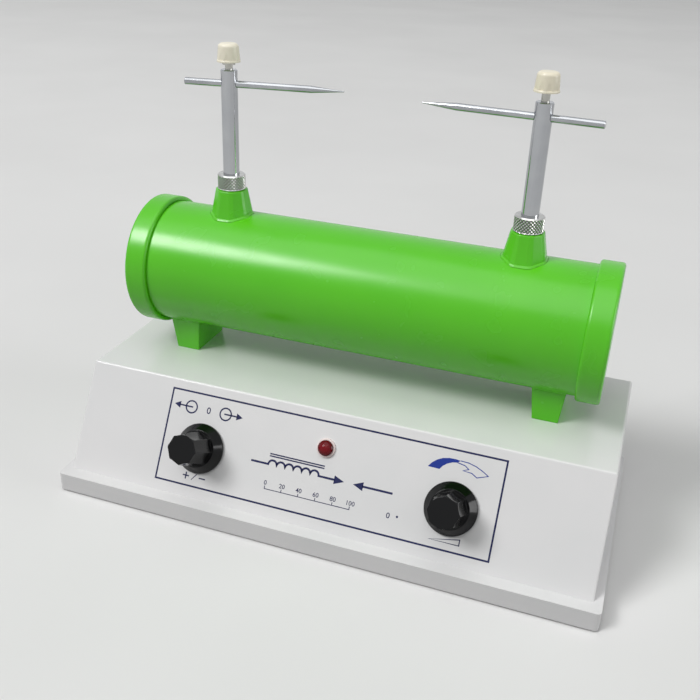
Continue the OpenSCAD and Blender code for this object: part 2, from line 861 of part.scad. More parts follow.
module core_support(side) {
    color("#d8c8a0") along_coil(side) translate([0, 0, support_x]) difference() {
        cylinder(r = support_outer_r, h = support_t, $fn = 180);
        translate([0, 0, -past]) cylinder(r = core_r + layer_gap, h = support_t + 2 * past);
    }
}

module left_core_support() { core_support(left); }

module right_core_support() { core_support(right); }

module terminal_insert(side) {
    color(brass_metal) translate([side * post_x, coil_y, 0]) difference() {
        translate([0, 0, insert_bottom_z]) cylinder(d = insert_d, h = boss_top_z - insert_bottom_z);
        translate([0, 0, boss_top_z - insert_bore_depth])
            cylinder(d = stub_d + 2 * running_gap, h = insert_bore_depth + past);
    }
}

module left_terminal_insert() { terminal_insert(left); }

module right_terminal_insert() { terminal_insert(right); }

module high_voltage_lead(side) {
    color("#c03028") wire([
        [side * post_x, coil_y, insert_bottom_z],
        [side * post_x, coil_y, hv_lead_over_z],
        [side * hv_lead_x, coil_y, hv_lead_over_z],
        [side * hv_lead_x, coil_y, hv_lead_z],
        [side * secondary_l / 2, coil_y, hv_lead_z]
    ], hv_lead_d);
}

module left_high_voltage_lead() { high_voltage_lead(left); }

module right_high_voltage_lead() { high_voltage_lead(right); }

module primary_leads() {
    winding_z = axis_z - (primary_former_r + layer_gap + primary_t / 2);
    color("#c03028") for (side = [left, right]) {
        y = coil_y + side * primary_lead_offset;
        wire([
            [primary_l / 2, y, winding_z],
            [foot_x, y, winding_z],
            [foot_x, y, board_top_z]
        ], primary_lead_d);
    }
}

// ---------- Circuit board ----------

module circuit_board() {
    color("#2e6b3a") difference() {
        translate([board_left_x, board_front_y, board_z]) cube([board_l, board_w, board_t]);
        for (place = board_places)
            translate([place.x, place.y, board_z - past])
                cylinder(d = board_screw_d + 2 * screw_hole_gap, h = board_t + 2 * past, $fn = small_fn);
    }
}

module board_standoffs() {
    color("#e8e8e8") for (place = board_places)
        translate([place.x, place.y, plate_top_z]) difference() {
            cylinder(d = standoff_d, h = standoff_h, $fn = small_fn);
            translate([0, 0, -past])
                cylinder(d = board_screw_d + screw_hole_gap, h = standoff_h + 2 * past, $fn = small_fn);
        }
}

// One screw from above and one from below hold each standoff.
module board_screws() {
    reach = (standoff_h - 1) / 2;
    color(chrome_metal) for (place = board_places) {
        translate([place.x, place.y, board_top_z]) mirror([0, 0, 1])
            pan_head_screw(board_screw_d, board_t + reach, 5.5, 1.8);
        translate([place.x, place.y, plate_z])
            pan_head_screw(board_screw_d, plate_t + reach, 5.5, screw_head_h);
    }
}

// Moves what follows to a place on the board, measured from its front left corner.
module on_board(x, y) {
    translate([board_left_x + x, board_front_y + y, board_top_z]) children();
}

capacitor_place = [28, 38];
capacitor_top_fillet = 1.5;

module discharge_capacitor() {
    r = capacitor_d / 2;
    color("#2a3a78") on_board(capacitor_place.x, capacitor_place.y) rotate_extrude() polygon(concat(
        [[0, 0], [r, 0]],
        fillet([r, 0], [r, capacitor_h], [0, capacitor_h], capacitor_top_fillet),
        [[0, capacitor_h]]
    ));
}

sink_l = 40;
sink_back_t = 3;
sink_fin_t = 1.6;
sink_fin_l = 13;
sink_h = 28;
sink_fins = 7;
sink_place = [52, 34];

module heat_sink() {
    fin_pitch = (sink_l - sink_fin_t) / (sink_fins - 1);
    color("#9a9ca0") on_board(sink_place.x, sink_place.y) {
        cube([sink_l, sink_back_t, sink_h]);
        for (i = [0:sink_fins - 1])
            translate([i * fin_pitch, 0, 0]) cube([sink_fin_t, sink_back_t + sink_fin_l, sink_h]);
    }
}

module thyristor() {
    case_w = 10;
    case_t = 4.5;
    case_h = 9;
    tab_t = 1.3;
    tab_h = 6;
    leg_h = 4;
    color(black_plastic) on_board(sink_place.x + sink_l / 2, sink_place.y) {
        translate([-case_w / 2, -case_t, leg_h]) cube([case_w, case_t, case_h]);
        translate([-case_w / 2, -tab_t, leg_h + case_h]) cube([case_w, tab_t, tab_h]);
        for (i = [-1:1]) translate([i * 2.54 - 0.4, -2.6, 0]) cube([0.8, 0.6, leg_h]);
    }
}

resistor_place = [46, 6];
resistor_l = 34;
resistor_w = 9;
resistor_h = 9;

module power_resistor() {
    color("#e4e0d4") on_board(resistor_place.x, resistor_place.y)
        cube([resistor_l, resistor_w, resistor_h]);
}

fuse_place = [18, 12];
fuse_l = 20;
fuse_d = 5;
fuse_h = 5;

module fuse_clips() {
    clip_l = 5;
    color(brass_metal) for (side = [left, right])
        on_board(fuse_place.x + side * (fuse_l - clip_l) / 2, fuse_place.y) difference() {
            translate([-clip_l / 2, -fuse_d / 2 - 1, 0]) cube([clip_l, fuse_d + 2, fuse_h + 1.5]);
            translate([0, 0, fuse_h]) rotate([0, 90, 0])
                cylinder(d = fuse_d + 2 * running_gap, h = 2 * clip_l, center = true, $fn = small_fn);
            translate([-clip_l, -fuse_d / 2 + 0.6, fuse_h]) cube([2 * clip_l, fuse_d - 1.2, fuse_h]);
        }
}

module fuse_link() {
    color("#d8e0e0") on_board(fuse_place.x, fuse_place.y) translate([0, 0, fuse_h])
        rotate([0, 90, 0]) cylinder(d = fuse_d, h = fuse_l, center = true, $fn = small_fn);
}

terminal_place = [board_l - 32, 36];
terminal_l = 20;
terminal_w = 11;
terminal_h = 12;
terminal_pitch = 6;
terminal_screw_d = 3.6;

module mains_terminal_block() {
    color("#3c8c5c") on_board(terminal_place.x, terminal_place.y) difference() {
        cube([terminal_l, terminal_w, terminal_h]);
        for (i = [-1:1])
            translate([terminal_l / 2 + i * terminal_pitch, terminal_w - 4, terminal_h / 2])
                cylinder(d = terminal_screw_d, h = far, $fn = small_fn);
    }
}

wire_landing_inset = 3;
switch_wire_place = 14;
lamp_wire_place = 38;
control_wire_place = board_l - 25;

// Wire from the back of a panel piece: along x behind the panel, back over the board and down.
module control_wire(x, s, depth, end_x) {
    slack = 4;
    turn = panel_point(x, s, -depth - slack);
    landing_y = board_front_y + wire_landing_inset;
    wire([
        panel_point(x, s, -depth),
        turn,
        [end_x, turn.y, turn.z],
        [end_x, landing_y, turn.z],
        [end_x, landing_y, board_top_z]
    ], wire_d);
}

module control_wires() {
    color("#2850a0") {
        control_wire(-knob_x, knob_s, wall + control_l, board_left_x + switch_wire_place);
        control_wire(0, lamp_s, lamp_body_l, board_left_x + lamp_wire_place);
        control_wire(knob_x, knob_s, wall + control_l, board_left_x + control_wire_place);
    }
}

// ---------- Posts, electrodes and clamp screws ----------

// Post with a stub below, a cross hole for the rod and a tapped hole in its top.
module post(side, aim) {
    r = post_d / 2;
    color(chrome_metal) translate([side * post_x, coil_y, 0]) difference() {
        union() {
            translate([0, 0, boss_top_z - stub_l]) cylinder(d = stub_d, h = stub_l + past, $fn = small_fn);
            rotate_extrude($fn = small_fn) polygon([
                [0, boss_top_z], [r, boss_top_z], [r, post_top_z - post_chamfer],
                [r - post_chamfer, post_top_z], [0, post_top_z]
            ]);
        }
        translate([0, 0, rod_z]) rotate([0, 90, -side * aim])
            cylinder(r = rod_r + running_gap, h = 2 * post_d, center = true, $fn = small_fn);
        translate([0, 0, rod_z]) cylinder(d = clamp_d + 2 * running_gap, h = far, $fn = small_fn);
    }
}

module left_post() { post(left, left_aim_angle); }

module right_post() { post(right, right_aim_angle); }

module collar(side) {
    r = collar_d / 2;
    inner_r = post_d / 2 + running_gap;
    color(chrome_metal) translate([side * post_x, coil_y, boss_top_z]) rotate_extrude() polygon([
        [inner_r, 0], [r - collar_chamfer, 0], [r, collar_chamfer], [r, collar_h - collar_chamfer],
        [r - collar_chamfer, collar_h], [inner_r, collar_h]
    ]);
}

module left_collar() { collar(left); }

module right_collar() { collar(right); }

// Rod with a long point, seen from its own post: the point faces the other post.
module electrode(side, aim, reach, length) {
    color(chrome_metal) translate([side * post_x, coil_y, rod_z])
        rotate([0, 0, side * -aim]) rotate([0, side * -90, 0]) rotate_extrude($fn = small_fn) polygon([
            [0, reach - length], [rod_r - 0.2, reach - length], [rod_r, reach - length + 0.2],
            [rod_r, reach - point_l], [point_d / 2, reach - point_d / 4], [0, reach]
        ]);
}

module left_electrode() { electrode(left, left_aim_angle, left_reach, left_rod_l); }

module right_electrode() { electrode(right, right_aim_angle, right_reach, right_rod_l); }

// Screw with a shoulder that the ivory cap is moulded over.
module clamp_screw(side, gap, show) {
    cap_z = post_top_z + gap;
    color(chrome_metal) translate([side * post_x, coil_y, 0]) {
        translate([0, 0, screw_tip_z])
            cylinder(d = clamp_d, h = cap_z + screw_grip_l - screw_tip_z, $fn = small_fn);
        translate([0, 0, cap_z - show]) cylinder(d = shoulder_d, h = shoulder_h, $fn = small_fn);
    }
}

module left_clamp_screw() { clamp_screw(left, left_clamp_gap, left_shoulder_show); }

module right_clamp_screw() { clamp_screw(right, right_clamp_gap, 0); }

module clamp_cap(side, gap, show) {
    r = clamp_cap_d / 2;
    top = [clamp_top_d / 2, clamp_cap_h];
    rim_r = clamp_rim_d / 2;
    color("#e6dfc8") translate([side * post_x, coil_y, post_top_z + gap]) difference() {
        rotate_extrude() polygon(concat(
            [[0, 0], [rim_r, 0], [rim_r, clamp_rim_h / 2], [r, clamp_rim_h]],
            fillet([r, clamp_rim_h], top, [0, clamp_cap_h], clamp_top_fillet),
            [[0, clamp_cap_h]]
        ));
        for (i = [0:clamp_flutes - 1])
            rotate([0, 0, i * 360 / clamp_flutes])
                translate([r - clamp_flute_depth + clamp_flute_r, 0, clamp_rim_h])
                cylinder(r = clamp_flute_r, h = clamp_cap_h);
        translate([0, 0, -past]) cylinder(d = clamp_d + 2 * running_gap, h = screw_grip_l + past + running_gap);
        translate([0, 0, -past])
            cylinder(d = shoulder_d + 2 * running_gap, h = shoulder_h - show + past + running_gap);
    }
}

module left_clamp_cap() { clamp_cap(left, left_clamp_gap, left_shoulder_show); }

module right_clamp_cap() { clamp_cap(right, right_clamp_gap, 0); }

base_housing();
bottom_plate();
bottom_screws();
rubber_feet();
cable_gland();
gland_nut();
lamp_bezel();
lamp_lens();
lamp_bulb();
polarity_switch_body();
polarity_switch_nut();
voltage_control_body();
voltage_control_nut();
coil_tube();
left_end_cap();
right_end_cap();
coil_foot_screws();
iron_core();
primary_former();
primary_winding();
insulating_sleeve();
secondary_former();
secondary_winding();
left_core_support();
right_core_support();
left_terminal_insert();
right_terminal_insert();
left_high_voltage_lead();
right_high_voltage_lead();
primary_leads();
circuit_board();
board_standoffs();
board_screws();
discharge_capacitor();
heat_sink();
thyristor();
power_resistor();
fuse_clips();
fuse_link();
mains_terminal_block();
control_wires();
left_post();
left_collar();
left_electrode();
left_clamp_screw();
left_clamp_cap();
right_post();
right_collar();
right_electrode();
right_clamp_screw();
right_clamp_cap();
polarity_knob();
polarity_spindle();
polarity_grub_screw();
voltage_knob();
voltage_spindle();
voltage_grub_screw();
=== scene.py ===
import json
import math

import bpy
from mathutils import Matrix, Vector


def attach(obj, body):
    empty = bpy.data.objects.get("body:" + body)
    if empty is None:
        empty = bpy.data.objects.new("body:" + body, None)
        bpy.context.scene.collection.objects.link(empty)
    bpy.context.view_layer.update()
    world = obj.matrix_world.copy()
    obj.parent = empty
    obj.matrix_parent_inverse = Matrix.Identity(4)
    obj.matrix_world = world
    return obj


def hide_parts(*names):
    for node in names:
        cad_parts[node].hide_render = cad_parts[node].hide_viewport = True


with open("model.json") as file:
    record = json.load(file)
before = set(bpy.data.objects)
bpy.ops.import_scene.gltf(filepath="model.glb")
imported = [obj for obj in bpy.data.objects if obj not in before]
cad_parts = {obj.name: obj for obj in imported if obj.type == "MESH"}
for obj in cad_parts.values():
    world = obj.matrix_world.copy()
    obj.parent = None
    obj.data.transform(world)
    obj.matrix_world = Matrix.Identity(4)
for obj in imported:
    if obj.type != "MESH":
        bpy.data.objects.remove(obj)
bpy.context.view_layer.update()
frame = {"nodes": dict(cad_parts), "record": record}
scene = bpy.context.scene
nodes = frame["nodes"]
MM = 0.001
LEFT, RIGHT = -1, 1

# Sizes of the coil in millimetres, as the solids have them.
PANEL_FOOT = (-64.15, 11.5)
PANEL_SLOPE = math.radians(59.98)
COIL_Y, AXIS_Z, TUBE_R = 16.9, 114.2, 34.2
DECK_Z = 65.5
POST_X, POST_R = 81.5, 4.4
BOSS_TOP_Z, BOSS_HALF, BOSS_DRAFT, BOSS_EDGE_REACH = 161.8, 8.3, math.radians(10.8), 1.04
FOOT_X, FOOT_HALF_L, FOOT_HALF_W, FOOT_DRAFT = 105.0, 6.8, 15.0, math.radians(6)
COLLAR_R, COLLAR_H, COLLAR_CHAMFER = 7.6, 8.4, 0.6
# A real knurl has about 60 grooves round and wouldn't show, so it is drawn as coarse as it needs to be.
KNURLS, KNURL_DEPTH = 26, 0.42


def on_panel(x, s, h=0.0):
    """A place by the sloping panel: x along it, s up the slope and h out of it, given in millimetres."""
    y = PANEL_FOOT[0] + s * math.cos(PANEL_SLOPE) - h * math.sin(PANEL_SLOPE)
    z = PANEL_FOOT[1] + s * math.sin(PANEL_SLOPE) + h * math.cos(PANEL_SLOPE)
    return Vector((x, y, z)) * MM


# ---------- Finishes ----------

def linear(code):
    """An sRGB hex colour as the linear colour that the shaders take."""
    parts = [int(code[i:i + 2], 16) / 255 for i in (1, 3, 5)]
    return (*[c / 12.92 if c <= 0.04045 else ((c + 0.055) / 1.055) ** 2.4 for c in parts], 1.0)


def add(tree, kind, inputs={}, **settings):
    """Adds a node. An input that is another node's socket is linked, and any other is set."""
    node = tree.nodes.new("ShaderNode" + kind)
    for name, value in settings.items():
        setattr(node, name, value)
    for name, value in inputs.items():
        if isinstance(value, bpy.types.NodeSocket):
            tree.links.new(value, node.inputs[name])
        else:
            node.inputs[name].default_value = value
    return node


def grain(size_mm):
    """Scale of a noise or cell pattern whose marks are that many millimetres across."""
    return 1 / (size_mm * MM)


def bands(pitch_mm):
    """Scale of a wave pattern whose bands are that many millimetres apart. The pattern turns by 20 a unit."""
    return 2 * math.pi / (20 * pitch_mm * MM)


def bare(name, **values):
    """A new material with its shader's own values set, and its tree, shader and object coordinates."""
    material = bpy.data.materials.new(name)
    material.use_nodes = True
    tree = material.node_tree
    shader = tree.nodes["Principled BSDF"]
    for socket, value in values.items():
        shader.inputs[socket.replace("_", " ")].default_value = value
    return material, tree, shader, add(tree, "TexCoord").outputs["Object"]


def tone(tree, place, first, second, size_mm, detail=3.0, low=0.35, high=0.65):
    """Two colours that drift into each other over patches of a size."""
    noise = add(tree, "TexNoise", {"Vector": place, "Scale": grain(size_mm), "Detail": detail})
    part = add(tree, "MapRange", {"Value": noise.outputs["Fac"], "From Min": low, "From Max": high})
    return add(tree, "Mix", {0: part.outputs["Result"], 6: linear(first), 7: linear(second)},
               data_type="RGBA").outputs[2]


def handled(tree, place, low, high, size_mm):
    """Roughness that wanders between two values, as on a surface that hands have touched."""
    noise = add(tree, "TexNoise", {"Vector": place, "Scale": grain(size_mm), "Detail": 2.0})
    return add(tree, "MapRange", {"Value": noise.outputs["Fac"], "From Min": 0.3, "From Max": 0.7,
                                  "To Min": low, "To Max": high}).outputs["Result"]


def moulding(name, colour, shade, gloss, peel_mm, peel_um, edge_mm=0.0, **values):
    """Moulded plastic: an even colour that drifts a little, a soft ripple left by the mould, and smudges."""
    values.setdefault("IOR", 1.5)
    material, tree, shader, place = bare(name, **values)
    drift_mm, smudge_mm = 45, 14
    tree.links.new(tone(tree, place, colour, shade, drift_mm), shader.inputs["Base Color"])
    tree.links.new(handled(tree, place, *gloss, smudge_mm), shader.inputs["Roughness"])
    peel = add(tree, "TexNoise", {"Vector": place, "Scale": grain(peel_mm), "Detail": 2.0})
    ripple = add(tree, "Bump", {"Height": peel.outputs["Fac"], "Distance": peel_um * 1e-6})
    if edge_mm:
        # The mould's corners are a little round, which catches the light along the edges.
        rounded = add(tree, "Bevel", {"Radius": edge_mm * MM}, samples=6)
        tree.links.new(rounded.outputs["Normal"], ripple.inputs["Normal"])
    tree.links.new(ripple.outputs["Normal"], shader.inputs["Normal"])
    return material


def metal(name, colour, shade, gloss, marks_mm, marks_um, along="Z"):
    """Metal with the fine rings that turning and polishing leave, faint smudges and a drift of tone."""
    material, tree, shader, place = bare(name, Metallic=1.0)
    drift_mm, smudge_mm = 14, 6
    tree.links.new(tone(tree, place, colour, shade, drift_mm), shader.inputs["Base Color"])
    tree.links.new(handled(tree, place, *gloss, smudge_mm), shader.inputs["Roughness"])
    rings = add(tree, "TexWave", {"Vector": place, "Scale": bands(marks_mm), "Distortion": 1.5,
                                  "Detail": 2.0}, bands_direction=along)
    ripple = add(tree, "Bump", {"Height": rings.outputs["Fac"], "Distance": marks_um * 1e-6})
    tree.links.new(ripple.outputs["Normal"], shader.inputs["Normal"])
    return material


def winding(name, colour, shade, wire_mm):
    """Enamelled wire laid turn by turn, drawn as ridges along the coil, thicker than the real wire."""
    material, tree, shader, place = bare(name, Metallic=0.8)
    turns = add(tree, "TexWave", {"Vector": place, "Scale": bands(wire_mm), "Distortion": 0.4},
                bands_direction="X")
    # Painted shade: the colour darkens to deep brown in the grooves between the turns, where the bump is low.
    tree.links.new(add(tree, "Mix", {0: turns.outputs["Fac"], 6: linear(shade), 7: linear(colour)},
                       data_type="RGBA").outputs[2], shader.inputs["Base Color"])
    tree.links.new(handled(tree, place, 0.25, 0.4, 5), shader.inputs["Roughness"])
    ridge_mm = 0.1
    ridge = add(tree, "Bump", {"Height": turns.outputs["Fac"], "Distance": ridge_mm * MM})
    tree.links.new(ridge.outputs["Normal"], shader.inputs["Normal"])
    return material


def lens_red():
    """Clear red polystyrene over a dark lamp: deep red and glossy, with painted shade that darkens it to near
    black where the bezel holds it.
    """
    material, tree, shader, place = bare("moulded_red_styrene", Specular_IOR_Level=0.2)
    outward = (0.0, -math.sin(PANEL_SLOPE), math.cos(PANEL_SLOPE))
    height = add(tree, "VectorMath", {0: place, 1: outward}, operation="DOT_PRODUCT")
    panel_face = on_panel(0, 0).dot(Vector(outward))
    dark_to, light_from = 0.5 * MM, 4.6 * MM
    # Painted shade: the red fades to near black over the lowest few millimetres of the dome, next to the
    # panel.
    rise = add(tree, "MapRange", {"Value": height.outputs["Value"], "From Min": panel_face + dark_to,
                                  "From Max": panel_face + light_from})
    body = tone(tree, place, "#6c0310", "#7a0514", 3)
    tree.links.new(add(tree, "Mix", {0: rise.outputs["Result"], 6: linear("#3a0208"), 7: body},
                       data_type="RGBA").outputs[2], shader.inputs["Base Color"])
    tree.links.new(handled(tree, place, 0.05, 0.1, 2), shader.inputs["Roughness"])
    return material


def glass(name, colour):
    """Thin drawn glass, almost clear, with a slight haze."""
    material, tree, shader, place = bare(name, IOR=1.5, Base_Color=linear(colour))
    shader.inputs["Transmission Weight"].default_value = 1.0
    tree.links.new(handled(tree, place, 0.02, 0.07, 3), shader.inputs["Roughness"])
    return material


def iron_bundle():
    """Soft iron wires bundled and varnished: round wire ends side by side."""
    material, tree, shader, place = bare("varnished_iron_wire", Metallic=1.0)
    wire_mm = 1.2
    wires = add(tree, "TexVoronoi", {"Vector": place, "Scale": grain(wire_mm)})
    tree.links.new(add(tree, "Mix", {0: wires.outputs["Distance"], 6: linear("#6a6c70"),
                                     7: linear("#26272a")}, data_type="RGBA").outputs[2],
                   shader.inputs["Base Color"])
    tree.links.new(handled(tree, place, 0.35, 0.5, 4), shader.inputs["Roughness"])
    return material


def knurled_chrome():
    """Chrome over a cut knurl: bright on the points, with painted shade making it dark in the grooves."""
    material, tree, shader, place = bare("knurled_chrome_plate", Metallic=1.0)
    groove_shade_ends_at = COLLAR_R - 0.1
    folded = add(tree, "VectorMath", {0: place}, operation="ABSOLUTE")
    offset = add(tree, "VectorMath", {0: folded.outputs["Vector"], 1: Vector((POST_X, COIL_Y, 0)) * MM},
                 operation="SUBTRACT")
    across = add(tree, "VectorMath", {0: offset.outputs["Vector"], 1: (1, 1, 0)}, operation="MULTIPLY")
    radius = add(tree, "VectorMath", {0: across.outputs["Vector"]}, operation="LENGTH")
    groove = add(tree, "MapRange", {"Value": radius.outputs["Value"],
                                    "From Min": (COLLAR_R - KNURL_DEPTH) * MM,
                                    "From Max": groove_shade_ends_at * MM, "To Min": 1.0, "To Max": 0.0})
    height = add(tree, "SeparateXYZ", {"Vector": place}).outputs["Z"]
    knurled = add(tree, "Math", {0: height, 1: (BOSS_TOP_Z + COLLAR_H / 2) * MM,
                                 2: (COLLAR_H / 2 - COLLAR_CHAMFER) * MM}, operation="COMPARE")
    # Painted shade: the chrome turns near black with depth into the knurl's grooves, on the knurled band
    # only.
    painted_groove_shade = add(tree, "Math", {0: groove.outputs["Result"], 1: knurled.outputs["Value"]},
                operation="MULTIPLY")
    chrome = tone(tree, place, "#cfcfcd", "#c0bfbc", 5)
    tree.links.new(add(tree, "Mix", {0: painted_groove_shade.outputs["Value"], 6: chrome, 7: linear("#1c1c1b")},
                       data_type="RGBA").outputs[2], shader.inputs["Base Color"])
    tree.links.new(handled(tree, place, 0.16, 0.26, 3), shader.inputs["Roughness"])
    return material


def printed_ink(name, colour, shade):
    """Screen-printed ink: a matt film with the faint unevenness of the mesh."""
    return moulding(name, colour, shade, (0.35, 0.5), 0.6, 4, Specular_IOR_Level=0.25)


# A moulding has its two tones, the range of its roughness, then its ripple's size in millimetres and
# depth in micrometres, and last the radius of its corners. A metal has the same for its turning marks.
FINISHES = {
    # Glossy ABS: bright and hard-looking, so the lamps draw soft shapes on it.
    "white_moulding": moulding("glossy_white_abs", "#dedddd", "#dadada", (0.2, 0.26), 2.8, 3.5),
    # The same plastic in a strong green: one long, soft highlight, and colour right up to it.
    "green_moulding": moulding("glossy_green_abs", "#58c413", "#54c011", (0.24, 0.28), 3.2, 2.5, 0.9),
    # ABS from a spark-eroded mould: an even, dull grain.
    "grey_plate": moulding("textured_grey_abs", "#c2c3c4", "#b9babb", (0.5, 0.62), 0.6, 25),
    # Moulded rubber: nearly black, with no highlight.
    "foot_rubber": moulding("moulded_rubber", "#2c2c2d", "#262627", (0.7, 0.85), 0.5, 30, IOR=1.52),
    # Nylon moulded satin: black with a wide, faint sheen on each edge.
    "black_nylon": moulding("satin_black_nylon", "#1c1c1e", "#232325", (0.35, 0.5), 0.8, 12),
    # Polystyrene, pale and shiny: its pink tint is painted red light from the lens.
    "pale_bezel": moulding("pale_styrene_painted_red_light", "#e4d5d2", "#dccac8", (0.18, 0.3), 1.2, 3, IOR=1.59),
    "red_lens": lens_red(),
    "bulb_glass": glass("warm_bulb_glass", "#ffdcae"),
    # Pressed phenolic: dark, hard and a little dusty.
    "switch_plastic": moulding("dark_switch_phenolic", "#3a3a3e", "#323236", (0.4, 0.55), 1.0, 10),
    "control_plastic": moulding("brown_control_phenolic", "#4a4038", "#40372f", (0.4, 0.55), 1.0, 10),
    # Nickel plate over turned brass: warm grey and satin, with rings.
    "nickel_brass": metal("satin_nickel_plate", "#b9b8b3", "#aaa9a2", (0.16, 0.26), 0.35, 0.8),
    # Varnished pressboard: straw brown, half dull and rough.
    "card_former": moulding("varnished_pressboard", "#c9b88c", "#b7a375", (0.45, 0.6), 0.5, 20),
    "iron": iron_bundle(),
    # Copper wire under clear enamel: orange ridges, with painted shade as dark lines between them.
    "enamelled_wire": winding("enamelled_copper_wire", "#b4632e", "#6d3313", 0.6),
    # Extruded polythene: milky and waxy.
    "insulation": moulding("smooth_polythene_sleeve", "#e0e0d8", "#d6d6cd", (0.35, 0.5), 3.0, 10),
    # Satin ABS: cream, without a clear highlight.
    "former_plastic": moulding("satin_cream_abs", "#e8e4d8", "#dedacb", (0.35, 0.45), 1.6, 6),
    # Brass as it leaves the lathe: yellow, with fine rings.
    "brass_insert": metal("turned_brass", "#c9a24e", "#b58f40", (0.2, 0.32), 0.3, 1.2),
    "spindle_brass": metal("turned_brass_spindle", "#c3a25c", "#b4934f", (0.2, 0.32), 0.3, 1.0),
    # Silicone rubber drawn over wire: brick red and dull.
    "lead_sleeving": moulding("red_silicone_sleeve", "#c03028", "#b02a22", (0.4, 0.55), 0.6, 12),
    # Zinc plate: cool grey, a little cloudy.
    "zinc_screws": metal("bright_zinc_plate", "#bdc0c4", "#aeb0ae", (0.2, 0.35), 0.3, 1.0),
    # Lacquer on glass laminate: dark green, shiny and a little uneven.
    "board_laminate": moulding("green_solder_resist", "#2e6b3a", "#275f32", (0.25, 0.4), 0.7, 12),
    # Nylon as moulded: white and slightly waxy.
    "white_nylon": moulding("satin_white_nylon", "#e6e6e4", "#dcdcd9", (0.35, 0.5), 0.8, 8),
    # Heat-shrunk sleeve: blue, glossy and slightly wavy.
    "capacitor_case": moulding("blue_shrink_sleeve", "#2a3a78", "#243269", (0.25, 0.38), 1.6, 12),
    # Extruded aluminium: matt silver, with drawn lines.
    "sink_aluminium": metal("extruded_aluminium", "#b8babd", "#a8aaad", (0.3, 0.45), 0.4, 2.5),
    # Filled epoxy: matt black with a fine grit.
    "black_epoxy": moulding("matt_black_epoxy", "#1a1a1b", "#202021", (0.5, 0.65), 0.4, 10),
    # Unglazed fired clay: chalky off-white.
    "resistor_ceramic": moulding("fired_white_ceramic", "#e4e0d4", "#d7d2c2", (0.55, 0.7), 0.5, 20),
    "fuse_glass": glass("clear_fuse_glass", "#eef6f6"),
    # Satin polyamide: mid green, soft edges of light.
    "terminal_plastic": moulding("satin_green_polyamide", "#3c8c5c", "#357f52", (0.35, 0.5), 0.9, 10),
    # Soft vinyl over wire: plain blue, half dull.
    "wire_insulation": moulding("blue_wire_insulation", "#2850a0", "#234791", (0.35, 0.5), 0.7, 8),
    # Bright chrome: a mirror that shows the pale room with a slight blue cast.
    "chrome_plate": metal("bright_chrome_plate", "#b6b8bb", "#aeb0b4", (0.05, 0.1), 0.8, 0.25),
    "knurled_chrome": knurled_chrome(),
    # Steel polished along a lathe's turns: duller than chrome.
    "polished_rod": metal("polished_steel_rod", "#b0b2b5", "#a2a4a7", (0.12, 0.2), 0.35, 0.8, "X"),
    # Urea resin: ivory, satin, as if slightly waxed.
    "ivory_plastic": moulding("satin_ivory_urea", "#f0ead6", "#e9e1c9", (0.3, 0.4), 1.4, 6),
    # Phenolic polished in the mould: black, with hard bright edges.
    "black_bakelite": moulding("polished_black_phenolic", "#040405", "#080809", (0.1, 0.15), 1.6, 3, 0.4,
                               Specular_IOR_Level=0.24),
}
NAVY_INK = printed_ink("navy_screen_ink", "#181c45", "#1e234e")
BLUE_INK = printed_ink("blue_screen_ink", "#173088", "#1e3890")

for part in frame["record"]["subparts"]:
    mesh = nodes[part["node"]].data
    mesh.materials.clear()
    mesh.materials.append(FINISHES[part["material_slot"]])


# ---------- Making pieces ----------

def piece(name, points, faces, material, body, sharp=35):
    """A mesh piece from points in metres, smooth apart from edges sharper than an angle, riding on a body."""
    mesh = bpy.data.meshes.new(name)
    mesh.from_pydata(points, [], faces)
    mesh.validate()
    mesh.shade_smooth()
    mesh.set_sharp_from_angle(angle=math.radians(sharp))
    mesh.materials.append(material)
    made = bpy.data.objects.new(name, mesh)
    scene.collection.objects.link(made)
    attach(made, body)
    return made


def tube_faces(rings, around):
    """Faces between rings of points that follow one another and close up, each with the same count."""
    return [(i * around + j, i * around + (j + 1) % around,
             (i + 1) % rings * around + (j + 1) % around, (i + 1) % rings * around + j)
            for i in range(rings) for j in range(around)]


# ---------- Knurled collars ----------

STEPS_PER_KNURL = 8
STEPS_ROUND = STEPS_PER_KNURL * KNURLS
COLLAR_PLAY = 0.05
# The knurl starts over this height next to each chamfer.
KNURL_FADE = 0.25
# Above 1, so that each pyramid keeps a small flat on its point.
POINT_FLAT = 1.25


def knurled_collar(side, name):
    """Turned ring with a diamond knurl: pyramids between two hands of grooves, and plain chamfers."""
    pitch = 2 * math.pi * COLLAR_R / KNURLS
    rows = round((COLLAR_H - 2 * COLLAR_CHAMFER) / pitch * STEPS_PER_KNURL)
    inner = POST_R + COLLAR_PLAY
    profile = [(inner, 0.0), (COLLAR_R - COLLAR_CHAMFER, 0.0)]
    profile += [(None, COLLAR_CHAMFER + (COLLAR_H - 2 * COLLAR_CHAMFER) * i / rows) for i in range(rows + 1)]
    profile += [(COLLAR_R - COLLAR_CHAMFER, COLLAR_H), (inner, COLLAR_H)]
    points = []
    for radius, height in profile:
        for j in range(STEPS_ROUND):
            turn = 2 * math.pi * j / STEPS_ROUND
            r = radius
            if r is None:
                across, up = turn * COLLAR_R / pitch, height / pitch
                ridge = min(abs((across + up) % 1 - 0.5), abs((across - up) % 1 - 0.5)) * 2
                from_end = min(height - COLLAR_CHAMFER, COLLAR_H - COLLAR_CHAMFER - height)
                fade = min(1, from_end / KNURL_FADE)
                r = COLLAR_R - KNURL_DEPTH * (1 - min(1, ridge * POINT_FLAT)) * max(0, fade)
            points.append(Vector((side * POST_X + r * math.cos(turn), COIL_Y + r * math.sin(turn),
                                  BOSS_TOP_Z + height)) * MM)
    body = name.split("_")[0] + "_post"
    made = piece(name + "_knurled", points, tube_faces(len(profile), STEPS_ROUND),
                 FINISHES["knurled_chrome"], body, 20)
    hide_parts(name)


knurled_collar(LEFT, "left_collar")
knurled_collar(RIGHT, "right_collar")


# ---------- Fillets where the bosses and feet meet the tube ----------

def tube_z(y, side):
    """Height of the tube's surface above or below a place across the coil."""
    return AXIS_Z + side * math.sqrt(max(0.0, TUBE_R ** 2 - (y - COIL_Y) ** 2))


